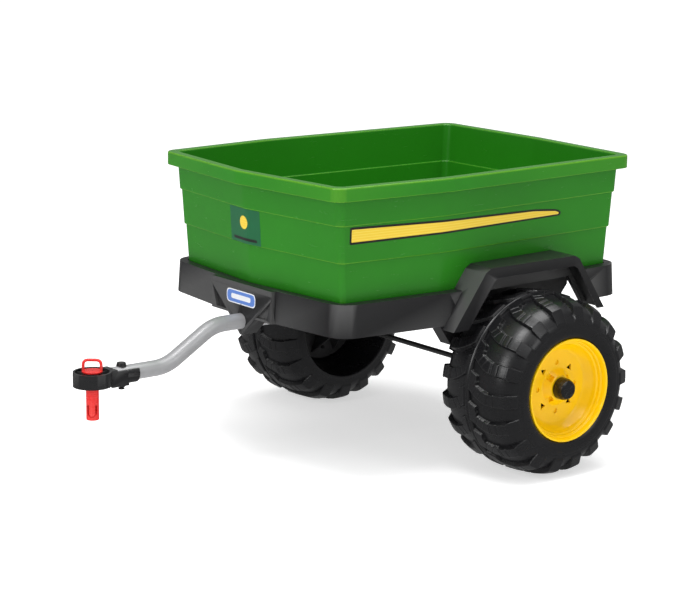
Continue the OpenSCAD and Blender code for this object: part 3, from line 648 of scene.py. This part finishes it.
def make_tyre(side, name):
    inner = np.linspace(0, INNER_END, INNER_END + 1)
    outer = np.concatenate([inner, np.linspace(INNER_END + 1.5, OUTER_END, 17)])
    inner = inner[1:][::-1]
    s = np.concatenate([-inner, outer])
    half = np.where(s < 0, -1.0, 1.0)
    degrees = np.linspace(0, 360, TYRE_TURNS, endpoint=False)
    grid_s, grid_d = np.meshgrid(np.abs(s), degrees, indexing="ij")
    halves = np.broadcast_to(half[:, None], grid_s.shape)
    lean = np.where(halves > 0, LUG_TURN, LUG_TURN + 180 / LUG_COUNT)
    base_r, base_y = (smooth_section(TREAD_BASE, grid_s, k) for k in (1, 2))
    top_r, top_y = (section_at(TREAD_TOP, grid_s, k) for k in (1, 2))
    lug, relief = tread(grid_s, grid_d - lean, np.where(halves > 0, BAND_OUT, BAND_IN))
    signed = grid_s * halves
    band = step(signed + BAND_IN, 1.2) * step(BAND_OUT - signed, 1.2)
    base_r = base_r + band * (BAND_R - base_r)
    for groove in BAND_GROOVES:
        base_r = base_r - 1.1 * ridge(signed - groove, 0.5, 0.8)
    r = base_r + lug * (top_r - base_r)
    y = base_y + lug * (top_y - base_y)
    # the relief stands square to the section, which turns from the tread to the side
    facing = np.interp(s, [-INNER_END, 0, 60, INNER_END, OUTER_END],
                       [1.2, 0, 0.3, 1.25, 1.57])[:, None]
    r = r + relief * np.cos(facing)
    y = y + relief * np.sin(facing)
    groove_ring = 0.7 * ridge(grid_s - 107.5, 0.6, 1.0) * (halves > 0)
    y = y - groove_ring
    r = np.minimum(r, TYRE_R)
    y = np.minimum(y, TYRE_OUT - WHEEL_Y - 0.1)
    y = WHEEL_Y + y * halves
    angle = np.radians(grid_d)
    rings = list(np.stack([r * np.cos(angle), y, AXLE_Z + r * np.sin(angle)], axis=2))

    def circle(radius, outboard):
        a = np.radians(degrees)
        return np.stack([radius * np.cos(a), np.full(TYRE_TURNS, outboard),
                         AXLE_Z + radius * np.sin(a)], axis=1)

    # inner side: a smooth ring with a bead, then the well that the hub sits in
    bead = rounded_path([(112, 224.5), (107, 222.8), (104.5, 223), (102.5, 226),
                         (98, 246), (88, 290), (84.5, 304.8), (80, 305.2)],
                        [0, 2, 2, 3, 10, 10, 3, 0], 3)
    well = [circle(radius, outboard) for radius, outboard in bead[::-1]]
    rings = well + rings
    rings = rings + [circle(92.9, 402.2), circle(91.6, 399.5)]
    if side < 0:
        rings = [ring * (1, -1, 1) for ring in rings][::-1]
    verts, faces = loft(rings)
    tyre = new_object(f"tyre_skin_{name}", place(verts), faces)
    turn_outwards(tyre)
    shade(tyre, 60, False)
    dress(tyre, f"wheel_{name}", "tyre", TYRE, f"tyre_{name}")


# ---- rims and caps ----

# Front and back of the rim, as radius, distance outboard and radius of the corner
RIM_PROFILE = [(92.4, 401.0, 0), (92.4, 405.9, 1.2), (89.2, 405.9, 1.2), (87.8, 402.0, 1),
               (86.6, 396.4, 1.0), (84.2, 395.6, 1.0), (83.2, 390.0, 1.0),
               (80.4, 389.0, 1.0), (78.0, 383.0, 3.0), (71.5, 374.5, 4), (66.5, 370.0, 3),
               (33.0, 370.0, 3), (22.0, 382.0, 1.5), (5.5, 382.0, 0)]
RIM_BACK = [(5.5, 331.5, 0), (13, 331.5, 0.6), (13, 366, 1), (67.5, 366, 2), (73, 371, 2),
            (81.0, 381.5, 2), (83.3, 386.0, 1), (86.5, 387.8, 1), (87.4, 393.2, 1),
            (89.9, 394.4, 1), (90.9, 401.0, 0)]


def prism_cutter(name, points, low, high):
    """A prism along the axle's line, from an outline in x and z."""
    rings = [np.array([(x, y, AXLE_Z + z) for x, z in points]) for y in (low, high)]
    verts, faces = loft(rings, True, True)
    made = new_object(name, place(verts), faces)
    turn_outwards(made)
    return made


def turned(points, degrees):
    c, s = math.cos(math.radians(degrees)), math.sin(math.radians(degrees))
    return [(x * c - z * s, x * s + z * c) for x, z in points]


def make_rim(side, name):
    front = rounded_path([p[:2] for p in RIM_PROFILE], [p[2] for p in RIM_PROFILE], 4)
    back = rounded_path([p[:2] for p in RIM_BACK], [p[2] for p in RIM_BACK], 3)
    profile = list(front) + list(back)
    profile.append(front[0])
    verts, faces = lathe(profile, side, 192)
    rim = new_object(f"rim_shell_{name}", verts, faces)
    weld(rim)
    turn_outwards(rim)
    triangle = [(MARK_R + TRIANGLE_R * math.cos(a), TRIANGLE_R * math.sin(a))
                for a in np.radians((225, 345, 105))]
    triangle = round_outline(triangle, [0.8] * 3, 2)
    dimple = [(MARK_R + DIMPLE_R * math.cos(a), DIMPLE_R * math.sin(a))
              for a in np.linspace(0, 2 * math.pi, 24, endpoint=False)]
    window = round_outline([(23.4, -6), (38, -6), (38, 6), (23.4, 6)], [1] * 4, 2)
    cuts = []
    for k in range(4):
        cuts.append((turned(triangle, 45 + 90 * k), 360, 380))
        cuts.append((turned(dimple, 90 * k), 367.2, 380))
        cuts.append((turned(window, 45 + 90 * k), 371.2, 390))
    cut_away(rim, [prism_cutter("rim_cut", points, low * side, high * side)
                   for points, low, high in cuts])
    shade(rim, 32)
    dress(rim, f"wheel_{name}", "rim", RIM, f"wheel_rim_{name}")


def make_cap(side, name):
    face_y = BOSS_Y + CAP_L
    outline = [(0.4, face_y - 0.9), (10.5, face_y - 0.9), (11.4, face_y), (14, face_y),
               (16.5, face_y - 2), (CAP_R, face_y - 10), (CAP_R, BOSS_Y + 0.4),
               (12.5, BOSS_Y + 0.4)]
    profile = rounded_path(outline, [0, 0.4, 0.4, 1.2, 1.2, 1.5, 0.8, 0], 4)
    verts, faces = lathe(profile, side, 96)
    cap = new_object(f"cap_{name}", verts, faces)
    fill_poles(cap)
    turn_outwards(cap)
    shade(cap, 40)
    dress(cap, f"wheel_{name}", "cap", CAP, f"hub_cap_{name}")


# ---- hitch pin ----


def swept(path, section_r, across):
    """A round bar along a path of points that all lie in the plane square to across."""
    rings = []
    for i, point in enumerate(path):
        before, after = path[max(i - 1, 0)], path[min(i + 1, len(path) - 1)]
        along = (after - before) / np.linalg.norm(after - before)
        out = np.cross(along, across)
        rings.append([point + section_r * (math.cos(a) * across + math.sin(a) * out)
                      for a in np.linspace(0, 2 * math.pi, 16, endpoint=False)])
    verts, faces = loft(rings, True, True)
    return place(verts), faces


def make_pin():
    """A hollow pin with a stepped top, a flange, a U-shaped slot and a looped handle.
    Its slot and its loop face the same way."""
    wide = np.array([math.cos(PIN_TURN), -math.sin(PIN_TURN), 0.0])
    facing = np.array([math.sin(PIN_TURN), math.cos(PIN_TURN), 0.0])
    flange_top, bore_top = FLANGE_Z + FLANGE_H, FLANGE_Z - 2.1
    outline = [(BORE_R, bore_top), (BORE_R, PIN_FOOT), (PIN_R, PIN_FOOT), (PIN_R, 190.8),
               (11.3, 190.4), (11.3, FLANGE_Z), (17.5, FLANGE_Z), (17.5, flange_top),
               (0.4, flange_top), (0.4, bore_top)]
    radii = [0, 0.8, 0.9, 0.2, 0.2, 0.6, 1.2, 1.2, 0, 0]
    profile = rounded_path(outline, radii, 4)
    angles = np.linspace(0, 2 * math.pi, 96, endpoint=False)
    rings = [np.stack([PIN_X + r * np.cos(angles), r * np.sin(angles),
                       np.full(96, z)], axis=1) for r, z in profile]
    verts, faces = loft(rings)
    pin = new_object("pin_shell", place(verts), faces)
    fill_poles(pin)
    turn_outwards(pin)
    half_circle = np.radians(np.linspace(180, 360, 17))
    outer = [(SLOT_OUTER * math.cos(a), SLOT_OUTER * math.sin(a)) for a in half_circle]
    inner = [(SLOT_INNER * math.cos(a), SLOT_INNER * math.sin(a)) for a in half_circle]
    slot_line = [(-SLOT_OUTER, 13)] + outer + [(SLOT_OUTER, 13), (SLOT_INNER, 14)]
    slot_line += inner[::-1] + [(-SLOT_INNER, 14)]

    def pin_point(across, out, z):
        return np.array([PIN_X, 0, z]) + across * wide + out * facing

    rings = [[pin_point(u, out, SLOT_Z + v) for u, v in slot_line] for out in (4.0, 20.0)]
    verts, faces = loft(rings, True, True)
    cutter = new_object("pin_cut", place(verts), faces)
    turn_outwards(cutter)
    cut_away(pin, [cutter])
    shade(pin, 40)
    dress(pin, "hitch_pin", "pin", PIN, "hitch_pin")
    top, foot = PIN_TOP - HANDLE_R - 0.1, FLANGE_Z + 1.5
    bends = [(-HANDLE_SIDE, foot), (-HANDLE_SIDE, top), (HANDLE_SIDE, top),
             (HANDLE_SIDE, foot)]
    path = [pin_point(u, 0, z) for u, z in rounded_path(bends, [0, 9, 9, 0], 8)]
    handle = new_object("pin_handle", *swept(path, HANDLE_R, facing))
    turn_outwards(handle)
    shade(handle, 50)
    dress(handle, "hitch_pin", "pin", PIN)


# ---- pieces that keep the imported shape, with rounded edges ----

# Heights between which the tray's top edge lies, and where the fenders' outer folds
# begin, in metres
TRAY_EDGE_LOW, TRAY_EDGE_HIGH = 0.331, 0.3345
FENDER_FOLD_Y, FENDER_FOLD_Z = 0.3035, 0.29


def make_chassis():
    def tray_share(middle):
        return 1.0 if TRAY_EDGE_LOW < middle.z < TRAY_EDGE_HIGH else 0.4

    tray = rounded_copy("chassis_tray", "tray_shell", 3.2, 28, 4, tray_share)
    dress(tray, "trailer", "chassis", CHASSIS, "chassis_tray")

    def fender_share(middle):
        crease = abs(middle.y) > FENDER_FOLD_Y and middle.z > FENDER_FOLD_Z
        return 1.0 if crease else 0.25

    for name in ("left", "right"):
        fender = rounded_copy(f"fender_{name}", f"fender_shell_{name}", 5.0, 20, 5,
                              fender_share)
        dress(fender, "trailer", "chassis", CHASSIS, f"fender_{name}")
        support = rounded_copy(f"axle_support_{name}", f"support_shell_{name}", 1.2)
        dress(support, "trailer", "chassis", CHASSIS, f"axle_support_{name}")
        disc = rounded_copy(f"hub_disc_{name}", f"hub_disc_shell_{name}", 0.8)
        dress(disc, f"wheel_{name}", "chassis", HUB, f"hub_disc_{name}")
    head = rounded_copy("hitch_head", "hitch_shell", 0.9)
    dress(head, "trailer", "hitch", HITCH, "hitch_head")


def dress_packed_nodes():
    looks = {"axle": AXLE, "drawbar_tube": DRAWBAR, "drawbar_bolt": BLACK_STEEL,
             "drawbar_nut": BLACK_STEEL, "hitch_screw": BLACK_STEEL,
             "hitch_washer": HITCH, "hitch_nut": HITCH, "tub_screws": BLACK_STEEL,
             "fender_screws": BLACK_STEEL, "tub_nuts": ZINC,
             "support_screws": BLACK_STEEL}
    for name in ("left", "right"):
        looks[f"axle_spacer_{name}"] = looks[f"push_nut_{name}"] = ZINC
        looks[f"wheel_screws_{name}"] = BLACK_STEEL
    for node, material in looks.items():
        mesh_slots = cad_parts[node].data.materials
        mesh_slots.clear()
        mesh_slots.append(material)


# ---- studio ----


def make_floor():
    material = bpy.data.materials.new("studio_floor")
    material.use_nodes = True
    tree = material.node_tree
    shader = tree.nodes["Principled BSDF"]
    coords = tree.nodes.new("ShaderNodeTexCoord").outputs["Object"]
    tone = noise_node(tree, coords, 0.6, 2.0)
    colour = ramp_node(tree, tone, 0.3, 0.7, (0.86, 0.86, 0.86), (0.88, 0.88, 0.88))
    tree.links.new(colour, shader.inputs["Base Color"])
    shader.inputs["Roughness"].default_value = 0.9
    shader.inputs["Specular IOR Level"].default_value = 0.1
    shader.inputs["Emission Color"].default_value = (1, 1, 1, 1)
    shader.inputs["Emission Strength"].default_value = 0.56
    size = 40.0
    floor = new_object("studio_floor", [(-size, -size, 0), (size, -size, 0),
                                        (size, size, 0), (-size, size, 0)],
                       [(0, 1, 2, 3)])
    floor.data.materials.append(material)
    floor.visible_glossy = False


def make_light(name, at, target, size, watts):
    data = bpy.data.lights.new(name, "AREA")
    data.shape = "RECTANGLE"
    data.size, data.size_y = size
    data.energy = watts
    light = add_object(name, data)
    light.location = at
    aim = Vector(target) - Vector(at)
    light.rotation_euler = aim.to_track_quat("-Z", "Y").to_euler()


def make_lights():
    middle = (0.0, 0.1, 0.3)
    make_light("key", (0.9, 0.6, 3.0), middle, (1.0, 0.9), 26)
    make_light("overhead", (-0.9, 0.2, 3.1), middle, (1.8, 1.4), 30)
    make_light("front_left", (3.4, 0.6, 1.9), middle, (1.2, 1.6), 32)
    make_light("side", (-0.6, 3.6, 2.0), middle, (1.4, 1.4), 16)
    ceiling = bpy.data.lights.new("ceiling", "SUN")
    ceiling.energy = 1.25
    ceiling.angle = math.radians(70)
    lamp = add_object("ceiling", ceiling)
    lamp.rotation_euler = (math.radians(-8), math.radians(8), 0)
    world = bpy.data.worlds.new("studio_world")
    bpy.context.scene.world = world
    world.use_nodes = True
    background = world.node_tree.nodes["Background"]
    background.inputs["Color"].default_value = (1.0, 1.0, 1.0, 1.0)
    background.inputs["Strength"].default_value = 0.26


def make_camera():
    azimuth, elevation, roll = map(math.radians, (141.520, 12.382, 0.752))
    back = Vector((math.sin(azimuth) * math.cos(elevation),
                   -math.cos(azimuth) * math.cos(elevation), math.sin(elevation)))
    level = Vector((0, 0, 1)).cross(back).normalized()
    rise = back.cross(level)
    right = level * math.cos(roll) + rise * math.sin(roll)
    up = rise * math.cos(roll) - level * math.sin(roll)
    data = bpy.data.cameras.new("camera")
    data.sensor_width = 36.0
    data.lens = 115.81
    data.clip_end = 200
    camera = add_object("camera", data)
    turn = Matrix((right, up, back)).transposed().to_4x4()
    camera.matrix_world = Matrix.Translation((2.4468, 3.1551, 1.1580)) @ turn
    bpy.context.scene.camera = camera


make_tub()
make_side_stripe(1, "left")
make_side_stripe(-1, "right")
make_badge()
make_label()
for wheel_side, wheel_name in ((1, "left"), (-1, "right")):
    make_tyre(wheel_side, wheel_name)
    make_rim(wheel_side, wheel_name)
    make_cap(wheel_side, wheel_name)
make_chassis()
make_pin()
dress_packed_nodes()
make_floor()
make_lights()
make_camera()
bpy.context.scene.view_settings.view_transform = "Standard"
